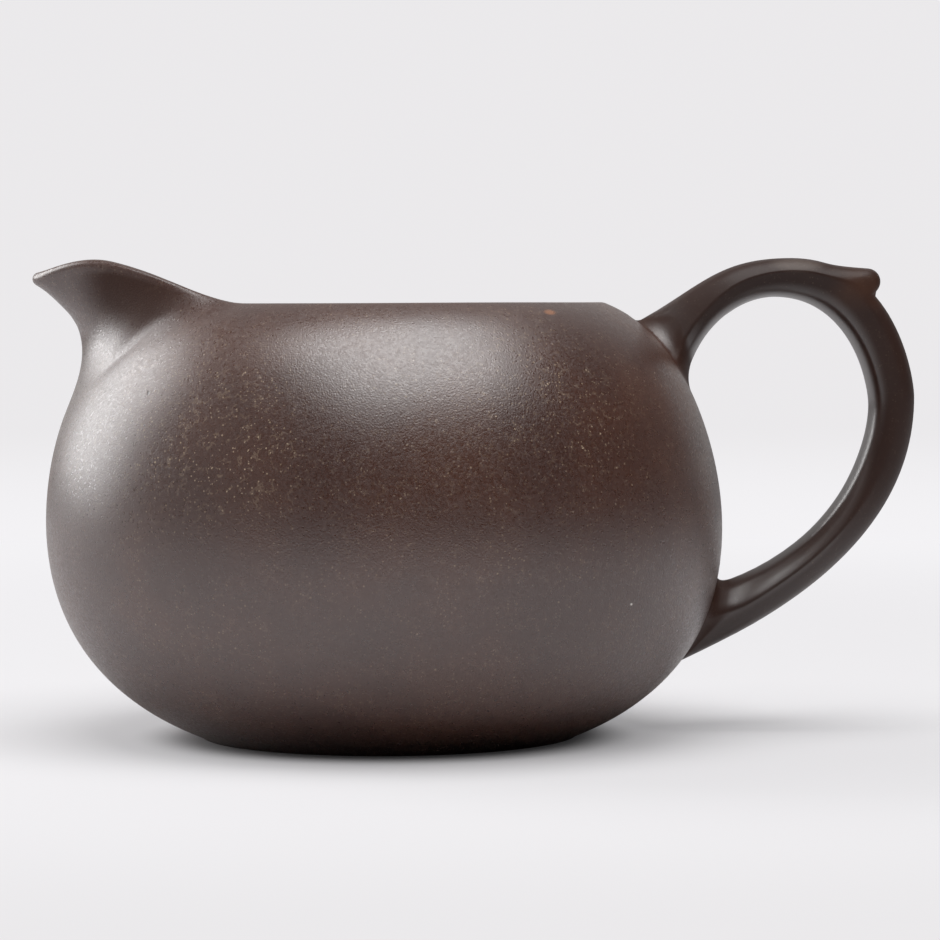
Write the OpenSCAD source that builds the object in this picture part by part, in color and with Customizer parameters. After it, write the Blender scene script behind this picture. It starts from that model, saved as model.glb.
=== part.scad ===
// Tea fairness pitcher: a squat clay bowl with a drawn pouring lip and a looped handle,
// thrown, pulled and joined into one piece before firing.
// Millimetres. The origin is the middle of the foot on the table, +Z is up,
// the handle points along +X and the pouring lip along -X.

/* [Bowl] */
// Widest outside diameter, at the belly
belly_d = 90; // [84:1:96]
// Height of the belly above the table
belly_h = 28.2; // [25:0.2:31]
// Height of the rim above the table
rim_h = 57.6; // [54:0.2:62]
// Outside diameter of the mouth, measured on the rim's outer edge
rim_d = 58.8; // [52:0.2:64]
// Outside diameter of the flat foot
foot_d = 49.6; // [44:0.2:54]
// Slope of the shoulder where it runs into the rim, in degrees
shoulder_slope = 21.5; // [15:0.5:30]
// How long the shoulder keeps that slope
shoulder_arm = 11.7; // [8:0.1:15]
// How long the wall stays upright above the belly
belly_arm_up = 10.7; // [7:0.1:14]
// How long the wall stays upright below the belly
belly_arm_down = 21; // [16:0.2:23]
// Slope of the wall where it leaves the foot, in degrees
foot_slope = 25; // [18:1:35]
// How long the wall keeps that slope
foot_arm = 3.3; // [2:0.1:6]

/* [Wall] */
// Thickness of the bowl's wall
wall_t = 2.8; // [2.2:0.1:3.4]
// Thickness of the rounded rim
rim_t = 2.3; // [1.8:0.1:3]
// Thickness of the rounded edge at the tip of the pouring lip
tip_t = 1.8; // [1.4:0.1:2.4]
// Thickness of the floor inside the foot ring
floor_t = 3; // [2.4:0.1:4]
// Width of the flat ring that the pitcher stands on
foot_ring_w = 4.5; // [3:0.1:7]
// Depth of the recess inside the foot ring
foot_recess = 1.2; // [0.6:0.1:2]

/* [Pouring lip] */
// How far the lip's tip is drawn out past the rim
lip_reach = 16.7; // [13:0.1:20]
// How high the sides of the lip stand above the rim
lip_rise = 5.7; // [3:0.1:8]
// How far the very tip hangs below the sides
tip_drop = 3.1; // [0:0.1:4]
// Part of the rim that is drawn into the lip, in degrees
lip_angle = 103; // [90:1:125]
// Share by which the sides of the lip are squeezed together
lip_squeeze = 0.25; // [0:0.01:0.4]
// How far down the shoulder the throat under the tip runs
throat_depth = 19; // [14:0.5:22]
// How far down the shoulder the hollow beside the lip runs
hollow_depth = 4; // [2:0.5:10]

/* [Handle] */
// How far the grip stands out past the belly
grip_out = 26.3; // [22:0.1:32]
// Height of the handle's top above the rim
handle_rise = 5.9; // [3:0.1:9]
// Distance of the handle's top out from the rim's outer edge
handle_top_out = 25.2; // [22:0.1:28]
// Drop from the handle's top to the outermost part of the grip
grip_drop = 18.8; // [15:0.1:23]
// Thickness of the handle at its top
top_t = 5.2; // [4.4:0.1:6.4]
// Thickness of the handle at the grip
grip_t = 6.3; // [5:0.1:7.4]
// Width of the handle across the grip
grip_w = 8.4; // [6.5:0.1:10]
// Width of the handle where it joins the bowl
root_w = 9.4; // [8:0.1:11]
// Drop from the rim to the upper edge of the upper joint
upper_joint_hi = 2.6; // [2:0.1:4]
// Drop from the rim to the lower edge of the upper joint
upper_joint_lo = 10.7; // [8:0.1:12]
// Height of the upper edge of the lower joint
lower_joint_hi = 19.6; // [17:0.1:22]
// Height of the lower edge of the lower joint
lower_joint_lo = 9; // [7:0.1:12]
// Radius that softens both joints
joint_fillet = 1.2; // [0.6:0.1:2]
// Slope of the outer side where it leaves the upper joint, in degrees
upper_outer_slope = 30.5; // [20:0.5:40]
// Slope of the inner side where it leaves the upper joint, in degrees
upper_inner_slope = 77.4; // [65:0.5:85]
// Slope of the outer side where it leaves the lower joint, in degrees
lower_outer_slope = 24; // [15:0.5:32]
// Slope of the inner side where it leaves the lower joint, in degrees
lower_inner_slope = 17; // [10:0.5:26]
// Share of the handle's thickness that lies outside its side ridge
ridge_share = 0.36; // [0.3:0.01:0.5]

/* [Thumb rest] */
// Distance of the thumb rest out from the handle's top
thumb_at = 9.9; // [8:0.1:12]
// Thickness of the thumb rest at its rounded nose
thumb_t = 3.3; // [2.6:0.1:3.8]
// How far the middle of the nose stands off the strap's outer face
thumb_out = 0.7; // [0.4:0.1:1.4]
// Length over which the thumb rest lifts off the strap
thumb_len = 6; // [5:0.5:8]
// Share by which the groove under the thumb rest cuts into its sides
thumb_groove = 0.24; // [0:0.02:0.4]

/* [Hidden] */

belly_r = belly_d / 2;
rim_r = rim_d / 2;
foot_r = foot_d / 2;
// The clay leaves the table in a small bevel
foot_bevel = [0.5, 0.3];
recess_slope_w = 1;
floor_h = foot_recess + floor_t;
// How softly the wall runs into the floor inside
floor_blend = 1.6;

// Mesh counts: columns round the bowl, rows up its curves, sides and rings of the handle
columns = 72;
lower_rows = 9;
upper_rows = 14;
edge_rows = 5;
handle_sides = 22;
column_crowding = 0.5;

function mix(a, b, t) = a + (b - a) * t;
function unit(v) = v / norm(v);
function smooth(t) = let (s = min(1, max(0, t))) s * s * (3 - 2 * s);
function bezier(p, t) = let (s = 1 - t)
    s * s * s * p[0] + 3 * s * s * t * p[1] + 3 * s * t * t * p[2] + t * t * t * p[3];
function heading(angle) = [cos(angle), sin(angle)];

// Outer profile of the bowl as [radius, height]: foot to belly, then belly to rim
lower_curve = [
    [foot_r, 0] + foot_bevel,
    [foot_r, 0] + foot_bevel + foot_arm * heading(foot_slope),
    [belly_r, belly_h - belly_arm_down],
    [belly_r, belly_h]];
upper_curve = [
    [belly_r, belly_h],
    [belly_r, belly_h + belly_arm_up],
    [rim_r, rim_h] + shoulder_arm * heading(-shoulder_slope),
    [rim_r, rim_h]];
// v runs from 0 at the foot through 1 at the belly to 2 at the rim
function profile(v) = v < 1 ? bezier(lower_curve, v) : bezier(upper_curve, v - 1);
// Place on the profile at a height, found by halving
halvings = 22;
function profile_v(h, lo = 0, hi = 2, n = halvings) = let (mid = (lo + hi) / 2)
    n == 0 ? mid :
    profile(mid)[1] < h ? profile_v(h, mid, hi, n - 1) : profile_v(h, lo, mid, n - 1);
profile_step = 0.002;
function profile_normal(v) =
    let (d = unit(profile(v + profile_step) - profile(v - profile_step))) [d[1], -d[0]];

// The pouring lip: phi is the angle from the lip's middle, 0 at the tip
lip_crest = 4.5;
lip_ease = 3.65;
pull_ease = 2.5;
function draw(phi) = let (u = abs(phi) / (lip_angle / 2)) u >= 1 ? 0 : (1 - u * u) ^ 2;
function tip_share(phi) = let (u = abs(phi) / (lip_angle / 4)) u >= 1 ? 0 : (1 - u * u) ^ 2;
function lip_height(phi) = let (u = abs(phi) / (lip_angle / 2))
    (u >= 1 ? 0 : lip_rise * (1 - u ^ lip_crest) ^ lip_ease) - tip_drop * tip_share(phi);
function pull_depth(phi) = mix(hollow_depth, throat_depth, draw(phi));
function pull(phi, p) = let (u = norm(p - [rim_r, rim_h]) / pull_depth(phi))
    u >= 1 ? 0 : (1 - u) ^ pull_ease;
// A point of the outer surface, with the lip drawn out of it
function skin(phi, v) = let (p = profile(v), w = v < 1 ? 0 : pull(phi, p), d = draw(phi)) [
    -p[0] * cos(phi) - lip_reach * d * w,
    p[0] * sin(phi) * (1 - lip_squeeze * d * w),
    p[1] + lip_height(phi) * w];
v_step = 0.004;
phi_step = 0.2;
function along(phi, v) = let (top = min(2, v + v_step))
    unit(skin(phi, top) - skin(phi, top - 2 * v_step));
function around(phi, v) = unit(skin(phi + phi_step, v) - skin(phi - phi_step, v));
function outward(phi, v) = unit(cross(along(phi, v), around(phi, v)));

function edge_t(phi) = mix(rim_t, tip_t, draw(phi));
function wall_at(phi, v) = v < 1 ? wall_t :
    mix(wall_t, edge_t(phi), smooth(1 - norm(profile(v) - [rim_r, rim_h]) / throat_depth));
// A point of the inner surface; it flattens into the floor
function soft_max(a, b) = (a + b + sqrt((a - b) ^ 2 + floor_blend ^ 2)) / 2;
function lining(phi, v) = let (q = skin(phi, v) - wall_at(phi, v) * outward(phi, v))
    v < 1 ? [q[0], q[1], soft_max(q[2], floor_h)] : q;
// The rounded edge between both surfaces; a runs from 0 outside to 180 inside
function edge(phi, a) = let (n = outward(phi, 2), r = edge_t(phi) / 2)
    skin(phi, 2) - r * n + r * (cos(a) * n + sin(a) * along(phi, 2));

column_angles = [for (i = [0 : columns - 1]) let (t = 360 * i / columns - 180)
    t - column_crowding * 180 / PI * sin(t)];
function circle_row(r, h) = [for (phi = column_angles) [-r * cos(phi), r * sin(phi), h]];
recess_r = foot_r - foot_ring_w;
bowl_rings = concat(
    [circle_row(recess_r - recess_slope_w, foot_recess), circle_row(recess_r, 0), circle_row(foot_r, 0)],
    [for (j = [0 : lower_rows - 1]) [for (phi = column_angles) skin(phi, j / lower_rows)]],
    [for (j = [0 : upper_rows]) [for (phi = column_angles) skin(phi, 1 + j / upper_rows)]],
    [for (j = [1 : edge_rows - 1]) [for (phi = column_angles) edge(phi, 180 * j / edge_rows)]],
    [for (j = [upper_rows : -1 : 1]) [for (phi = column_angles) lining(phi, 1 + j / upper_rows)]],
    [for (j = [lower_rows : -1 : 0]) [for (phi = column_angles) lining(phi, j / lower_rows)]]);

// How long each side of the handle keeps its direction: after the upper joint,
// before and after its top, before and after the grip, and before the lower joint
outer_arms = [10.4, 9.6, 14, 3, 19.6, 14.9];
inner_arms = [8.5, 4.1, 9.8, 3.6, 4.3, 19.7];
// The inner side's top and grip lie a little back from the outer side's
top_shift = 2.2;
grip_shift = 0.7;

// The handle's two rails, [distance from the axis, height], each in three curves
handle_top = [rim_r + handle_top_out, rim_h + handle_rise];
grip = [belly_r + grip_out, rim_h + handle_rise - grip_drop];
function on_bowl(h, depth) = let (v = profile_v(h)) profile(v) - depth * profile_normal(v);
outer_upper = on_bowl(rim_h - upper_joint_hi, 0);
inner_upper = on_bowl(rim_h - upper_joint_lo, 0);
inner_lower = on_bowl(lower_joint_hi, 0);
outer_lower = on_bowl(lower_joint_lo, 0);
inner_top = handle_top - [top_shift, top_t];
inner_grip = grip - [grip_t, grip_shift];
function rail_curves(start, start_slope, top, side, end, end_slope, arms) = [
    [start, start + arms[0] * heading(start_slope), top - [arms[1], 0], top],
    [top, top + [arms[2], 0], side + [0, arms[3]], side],
    [side, side - [0, arms[4]], end + arms[5] * heading(end_slope), end]];
outer_rail = rail_curves(outer_upper, upper_outer_slope, handle_top, grip,
    outer_lower, lower_outer_slope, outer_arms);
inner_rail = rail_curves(inner_upper, upper_inner_slope, inner_top, inner_grip,
    inner_lower, lower_inner_slope, inner_arms);
// s runs from 0 at the upper joint to 3 at the lower one
function rail(curves, s) = let (k = min(2, floor(s))) bezier(curves[k], s - k);

// The thumb rest: the outer rail leaves the strap, rounds a nose and comes back
function rail_s(x, lo = 1, hi = 2, n = halvings) = let (mid = (lo + hi) / 2)
    n == 0 ? mid :
    rail(outer_rail, mid)[0] < x ? rail_s(x, mid, hi, n - 1) : rail_s(x, lo, mid, n - 1);
thumb_s = rail_s(handle_top[0] + thumb_at);
thumb_r = thumb_t / 2;
s_step = 0.01;
strap_run = (rail(outer_rail, thumb_s + s_step) - rail(outer_rail, thumb_s - s_step)) / (2 * s_step);
strap_out = [-unit(strap_run)[1], unit(strap_run)[0]];
nose = rail(outer_rail, thumb_s) + thumb_out * strap_out;
// The arc of the nose, and how far past it the notch returns to the strap, in nose radii
nose_from = 85;
nose_to = -48;
notch_len = 1.25;
thumb_start_s = thumb_s - thumb_len / norm(strap_run);
thumb_end_s = thumb_s + notch_len * thumb_r / norm(strap_run);
thumb_curve = let (
    a = rail(outer_rail, thumb_start_s),
    b = nose + thumb_r * heading(nose_from))
    [a, a + thumb_len / 3 * unit(rail(outer_rail, thumb_start_s + s_step) - a),
     b - thumb_len / 3 * heading(nose_from - 90), b];
lift_rings = 4;
nose_rings = 7;
thumb_points = concat(
    [for (j = [1 : lift_rings]) bezier(thumb_curve, j / (lift_rings + 1))],
    [for (j = [0 : nose_rings - 1])
        nose + thumb_r * heading(mix(nose_from, nose_to, j / (nose_rings - 1)))],
    [rail(outer_rail, thumb_end_s)]);

// A station is [outer point, inner point, s, growth at the joints, share of thumb groove, lift];
// the lift is how far the thumb rest stands off the outer rail there
function station(s, grow = 0, groove = 0, lift = [0, 0]) =
    [rail(outer_rail, s), rail(inner_rail, s), s, grow, groove, lift];
// The ends sink into the wall, wider towards the inside, so that both joints are softened
joint_depth_shares = [0.55, 0.27];
joint_grow_shares = [1, 0.75];
near_grow_shares = [0.3, 0.05];
near_s = 0.07;
function joint(outer_h, inner_h, k, s) =
    let (depth = joint_depth_shares[k] * wall_t)
    [on_bowl(outer_h, depth), on_bowl(inner_h, depth), s, joint_grow_shares[k] * joint_fillet, 0, [0, 0]];
function near_joint(s, k) = station(s, near_grow_shares[k] * joint_fillet);
upper_hi = rim_h - upper_joint_hi;
upper_lo = rim_h - upper_joint_lo;
// Steps of s along the rails: over the upper arm, over the top and down to the lower joint
arm_step = 0.09;
top_step = 0.07;
down_step = 0.06;
function thumb_station(j) = let (
    t = (j + 1) / len(thumb_points),
    s = mix(thumb_start_s, thumb_end_s, t))
    station(s, 0, thumb_groove * sin(180 * t) ^ 2, thumb_points[j] - rail(outer_rail, s));
stations = concat(
    [for (k = [0, 1]) joint(upper_hi, upper_lo, k, 0)],
    [for (k = [0, 1]) near_joint(k * near_s, k)],
    [for (s = [near_s + arm_step : arm_step : 1 - arm_step / 2]) station(s)],
    [for (s = [1 : top_step : thumb_start_s]) station(s)],
    [for (j = [0 : len(thumb_points) - 1]) thumb_station(j)],
    [for (s = [thumb_end_s + top_step / 2 : top_step : 2 - top_step / 2]) station(s)],
    [for (s = [2 : down_step : 3 - near_s - down_step / 2]) station(s)],
    [for (k = [1, 0]) near_joint(3 - k * near_s, k)],
    [for (k = [1, 0]) joint(lower_joint_lo, lower_joint_hi, k, 3)]);

// Cross-section of the strap: crowned outside, drawn in to a rounder inner side
crown_roundness = 0.9;
inner_roundness = 1.6;
groove_at = 0.31;
groove_w = 0.1;
// A soft channel runs down the lower arm beside its inner edge
channel_share = 0.1;
channel_at = 0.78;
channel_w = 0.13;
channel_from = 1.8;
// How far down the strap's side the thumb rest reaches, as a share of the strap's thickness
thumb_reach = 0.5;
// How much wider the fillets are at the sides of a joint
side_fillet = 1.6;
function strap_u(a) = ridge_share - cos(a) * (cos(a) > 0 ? ridge_share : 1 - ridge_share);
function bell(u, at, w) = exp(-((u - at) / w) ^ 2);
function channel(s) = channel_share * smooth(s - channel_from) * smooth((3 - s) / near_s);
function strap_v(a, s, groove) = let (u = strap_u(a)) sign(sin(a)) *
    abs(sin(a)) ^ (cos(a) > 0 ? crown_roundness : inner_roundness) *
    (1 - groove * bell(u, groove_at, groove_w) - channel(s) * bell(u, channel_at, channel_w));
// The width is the grip's over the middle of the rails and grows towards both joints
function strap_w(s) = mix(grip_w, root_w, smooth(abs(s - 1.5) - 0.5));
function strap_ring(st) = let (
    mid = (st[0] + st[1]) / 2,
    half = norm(st[1] - st[0]) / 2 + st[3],
    dir = unit(st[1] - st[0]),
    half_w = strap_w(st[2]) / 2 + st[3] * side_fillet)
    [for (i = [0 : handle_sides - 1]) let (
        a = 360 * i / handle_sides,
        u = strap_u(a),
        p = mid + dir * half * (2 * u - 1) + st[5] * smooth(1 - u / thumb_reach))
        [p[0], half_w * strap_v(a, st[2], st[4]), p[1]]];

// One closed skin through a list of rings with equal counts of points
module loft(rings) {
    n = len(rings[0]);
    m = len(rings);
    polyhedron(
        points = [for (ring = rings) each ring],
        faces = concat(
            [[for (i = [n - 1 : -1 : 0]) i]],
            [for (j = [0 : m - 2]) for (i = [0 : n - 1]) let (k = (i + 1) % n) each [
                [j * n + i, j * n + k, (j + 1) * n + k],
                [j * n + i, (j + 1) * n + k, (j + 1) * n + i]]],
            [[for (i = [0 : n - 1]) (m - 1) * n + i]]),
        convexity = 10);
}

module bowl() {
    loft(bowl_rings);
}

module handle() {
    loft([for (st = stations) strap_ring(st)]);
}

module pitcher() {
    color("#4a3835") union() {
        bowl();
        handle();
    }
}

pitcher();
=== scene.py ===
"""Looks of the tea fairness pitcher: one piece of fired clay with a drawn lip and a looped handle."""

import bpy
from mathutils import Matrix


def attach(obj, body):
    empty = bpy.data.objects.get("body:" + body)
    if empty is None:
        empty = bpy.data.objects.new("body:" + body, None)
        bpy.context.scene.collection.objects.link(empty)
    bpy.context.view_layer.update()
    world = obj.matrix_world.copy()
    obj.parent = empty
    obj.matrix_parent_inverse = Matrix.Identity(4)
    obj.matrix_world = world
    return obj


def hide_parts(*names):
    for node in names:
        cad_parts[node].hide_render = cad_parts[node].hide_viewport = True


bl_info = {
    "name": "Tea Fairness Pitcher",
    "version": (1, 0, 0),
    "blender": (4, 5, 0),
    "location": "3D View > Sidebar > Pitcher",
    "description": "Builds a clay pitcher with a drawn lip and a pulled handle, and its studio",
    "category": "Add Mesh",
}

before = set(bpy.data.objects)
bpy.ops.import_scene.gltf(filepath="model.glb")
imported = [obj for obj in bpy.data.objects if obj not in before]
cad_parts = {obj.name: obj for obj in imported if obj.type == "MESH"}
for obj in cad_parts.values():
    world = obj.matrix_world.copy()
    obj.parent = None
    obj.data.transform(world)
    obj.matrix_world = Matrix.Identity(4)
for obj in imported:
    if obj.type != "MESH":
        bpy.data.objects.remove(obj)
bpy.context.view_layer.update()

from math import copysign, cos, pi, radians, sin

import bmesh
import bpy
import numpy as np
from bpy.props import FloatProperty, FloatVectorProperty, IntProperty, PointerProperty
from mathutils import Matrix, Vector

CAD_NODE = "pitcher"
CAD_BODY = "root"

# Marks from 0 to 1 that the mesh hands to its material: crease with painted shade and a duller sheen,
# strap, its duller side, rounded edge
MARKS = ("hollow", "strap", "crown", "edge")

# Places of single marks seen in the photograph, in the part's frame: middle and half lengths
SPECKLED_LEFT = ((-0.0215, -0.0365, 0.0415), (0.017, 0.020, 0.014))
SPECKLED_RIGHT = ((0.0180, -0.0345, 0.0450), (0.017, 0.020, 0.015))
# Beside the lip: painted shade and a duller sheen on the shoulder
LIP_SIDE_SHADE_AND_DULL = ((-0.0328, -0.0135, 0.0600), (0.0118, 0.0135, 0.0086))
RUST = ((0.0199, -0.0249, 0.0564), (0.0011, 0.0020, 0.0005))
WHITE_GRAIN = ((0.0293, -0.0325, 0.0198), (0.00022, 0.0015, 0.00022))
PINHOLE = ((-0.0309, -0.0264, 0.0464), (0.00022, 0.0015, 0.00035))
# The same, from the thumb rest and from the handle's highest point; the first is a warm wear tint with
# painted shade round the thumb rest
THUMB_WEAR_AND_SHADE = ((-0.001, 0, -0.0044), (0.006, 0.008, 0.0040))
SCUFF = ((0.0004, -0.0032, -0.0009), (0.0046, 0.0026, 0.0014))

# Lamps: place, and width and height
LAMP_TARGET = (0, 0, 0.03)
TOP_SOFTBOX = ((0.08, -0.21, 0.87), (0.80, 0.84))
SIDE_SOFTBOX = ((-0.69, 0.46, 0.375), (0.54, 0.60))
# The room that the clay mirrors: in front, behind the pitcher and beyond the lip
ROOM_DARK = (0.02, 0.02, 0.02)
ROOM_BEHIND = (0.50, 0.50, 0.50)
ROOM_BY_LIP = (0.27, 0.27, 0.27)


# Properties
def length(name, text, default):
    return FloatProperty(name=name, description=text, default=default, unit="LENGTH", precision=4)


def angle(name, text, degrees):
    return FloatProperty(name=name, description=text, default=radians(degrees), subtype="ANGLE")


def share(name, text, default):
    return FloatProperty(name=name, description=text, default=default, min=0, max=1, subtype="FACTOR")


def number(name, text, default):
    return FloatProperty(name=name, description=text, default=default, min=0)


def colour(name, text, red, green, blue):
    return FloatVectorProperty(
        name=name, description=text, default=(red, green, blue), min=0, max=1, subtype="COLOR", size=3)


class PitcherSizes(bpy.types.PropertyGroup):
    """The real sizes, which are the CAD model's."""

    belly_width: length("Belly width", "Widest diameter of the bowl", 0.090)
    belly_height: length("Belly height", "Height of the widest part", 0.0282)
    rim_height: length("Rim height", "Height of the rim", 0.0576)
    rim_width: length("Rim width", "Outside diameter of the mouth", 0.0588)
    foot_width: length("Foot width", "Diameter of the foot", 0.0496)
    shoulder_slope: angle("Shoulder slope", "Slope of the shoulder at the rim", 21.5)
    wall: length("Wall", "Thickness of the bowl's wall", 0.0028)
    rim_thickness: length("Rim thickness", "Thickness of the rounded rim", 0.0023)
    tip_thickness: length("Tip thickness", "Thickness of the lip's edge at its tip", 0.0018)
    floor_thickness: length("Floor thickness", "Thickness of the floor", 0.003)
    foot_ring: length("Foot ring", "Width of the ring it stands on", 0.0045)
    foot_recess: length("Foot recess", "Depth of the recess inside the foot ring", 0.0012)
    lip_reach: length("Lip reach", "How far the tip is drawn out past the rim", 0.0167)
    lip_rise: length("Lip rise", "Height of the lip's sides above the rim", 0.0057)
    tip_drop: length("Tip drop", "How far the tip hangs below the sides", 0.0031)
    lip_spread: angle("Lip spread", "Part of the rim that is drawn into the lip", 103)
    lip_squeeze: share("Lip squeeze", "Share by which the lip is narrowed", 0.25)
    throat_depth: length("Throat depth", "Length of the throat under the tip", 0.019)
    hollow_depth: length("Hollow depth", "Length of the hollow beside the lip", 0.004)
    grip_out: length("Grip distance", "Distance of the grip from the belly", 0.0263)
    handle_rise: length("Handle rise", "Height of the handle's top above the rim", 0.0059)
    handle_top_out: length("Handle top distance", "Distance of the handle's top from the rim", 0.0252)
    grip_drop: length("Grip drop", "Drop from the top to the grip", 0.0188)
    top_thickness: length("Top thickness", "Thickness of the handle at its top", 0.0052)
    grip_thickness: length("Grip thickness", "Thickness of the handle at the grip", 0.0063)
    grip_width: length("Grip width", "Width of the handle across the grip", 0.0084)
    root_width: length("Root width", "Width of the handle at the bowl", 0.0094)
    joint_fillet: length("Joint fillet", "Radius of the fillets at the handle's joints", 0.0012)
    thumb_at: length("Thumb rest place", "Distance of the thumb rest from the top", 0.0099)
    thumb_thickness: length("Thumb rest thickness", "Thickness of its rounded nose", 0.0033)
    thumb_out: length("Thumb rest height", "Height of its middle on the strap", 0.0007)
    thumb_length: length("Thumb rest length", "Length over which it lifts off", 0.006)
    unevenness: length("Unevenness", "How far the surface strays by hand", 0.00012)
    columns: IntProperty(
        name="Columns", description="Columns of faces round the bowl", default=320, min=96, max=480)


class ClayFinish(bpy.types.PropertyGroup):
    """Colours and texture of the fired clay."""

    body_colour: colour("Clay colour", "Main colour of the fired clay", 0.058, 0.0235, 0.0165)
    warm_colour: colour("Warm colour", "Redder tone in mottled patches", 0.090, 0.035, 0.0205)
    # Painted shade: the handle is coloured darker than the bowl where it gets less light
    painted_handle_shade: colour("Handle colour", "Darker clay of the smoothed handle", 0.024, 0.0115, 0.0088)
    # Painted shade in the creases, the joints, under the thumb rest and beside the lip
    painted_crease_shade: colour("Hollow colour", "Dull brown of creases and hollows", 0.040, 0.017, 0.0115)
    speck_colour: colour("Speck colour", "Light mineral grains in the clay", 0.50, 0.38, 0.26)
    pit_colour: colour("Pit colour", "Small dark pits", 0.030, 0.019, 0.016)
    rust_colour: colour("Rust colour", "Orange-brown inclusion near the rim", 0.34, 0.13, 0.05)
    scuff_colour: colour("Scuff colour", "Pale scuff on top of the handle", 0.36, 0.30, 0.26)
    white_colour: colour("White colour", "Single white grain low on the belly", 0.8, 0.75, 0.7)
    roughness: share("Roughness", "Roughness of the clay's low sheen", 0.355)
    refraction: number("Refraction", "Refractive index, the sheen's strength", 1.9)
    dull_roughness: share("Dull roughness", "Roughness of creases and the handle's outer side", 0.6)
    dull_refraction: number("Dull refraction", "Refractive index of the duller clay", 1.3)
    grain_size: length("Grain size", "Size of the fine grain", 0.00024)
    grain_height: length("Grain height", "Height of the grain", 0.000020)
    speck_spacing: length("Speck spacing", "Distance between the light grains' cells", 0.0011)
    mottle_size: length("Mottle size", "Size of the colour's soft patches", 0.014)


class StudioSetup(bpy.types.PropertyGroup):
    """The table, the lamps and the camera."""

    floor_colour: colour("Table colour", "Colour of the table", 0.67, 0.661, 0.674)
    backdrop_colour: colour("Backdrop colour", "Colour behind the pitcher", 0.83, 0.817, 0.832)
    glow_colour: colour("Table glow", "Evenly lit table away from the pitcher", 0.90, 0.89, 0.91)
    contact_radius: length("Contact radius", "Inner radius of the contact shadow's edge", 0.0255)
    top_light: number("Top light", "Power of the softbox above, in watts", 10.0)
    side_light: number("Side light", "Power of the softbox behind the lip, in watts", 5.0)
    camera_distance: length("Camera distance", "From the pitcher's axis to the camera", 0.490)
    camera_height: length("Camera height", "Height of the camera above the table", 0.057)
    camera_shift: length("Camera sidestep", "Camera's place towards the handle", 0.01137)
    camera_turn: angle("Camera turn", "Turn of the handle away from the camera", 4.0)
    camera_pitch: angle("Camera pitch", "How far the camera looks down", 2.53)
    camera_roll: angle("Camera roll", "How far the camera leans to the right", 0.2)
    lens: number("Lens", "Focal length in mm for a sensor 36 mm wide", 140.8)


# Curves
def mix(a, b, t):
    return a + (b - a) * t


def smooth(t):
    t = np.clip(t, 0, 1)
    return t * t * (3 - 2 * t)


def heading(turn):
    return np.array([cos(turn), sin(turn)])


def unit(vectors):
    return vectors / np.linalg.norm(vectors, axis=-1, keepdims=True)


def bezier(points, t):
    t = np.asarray(t, float)[..., None]
    s = 1 - t
    return s ** 3 * points[0] + 3 * s * s * t * points[1] + 3 * s * t * t * points[2] + t ** 3 * points[3]


def arrays(a, b):
    return np.broadcast_arrays(np.asarray(a, float), np.asarray(b, float))


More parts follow.
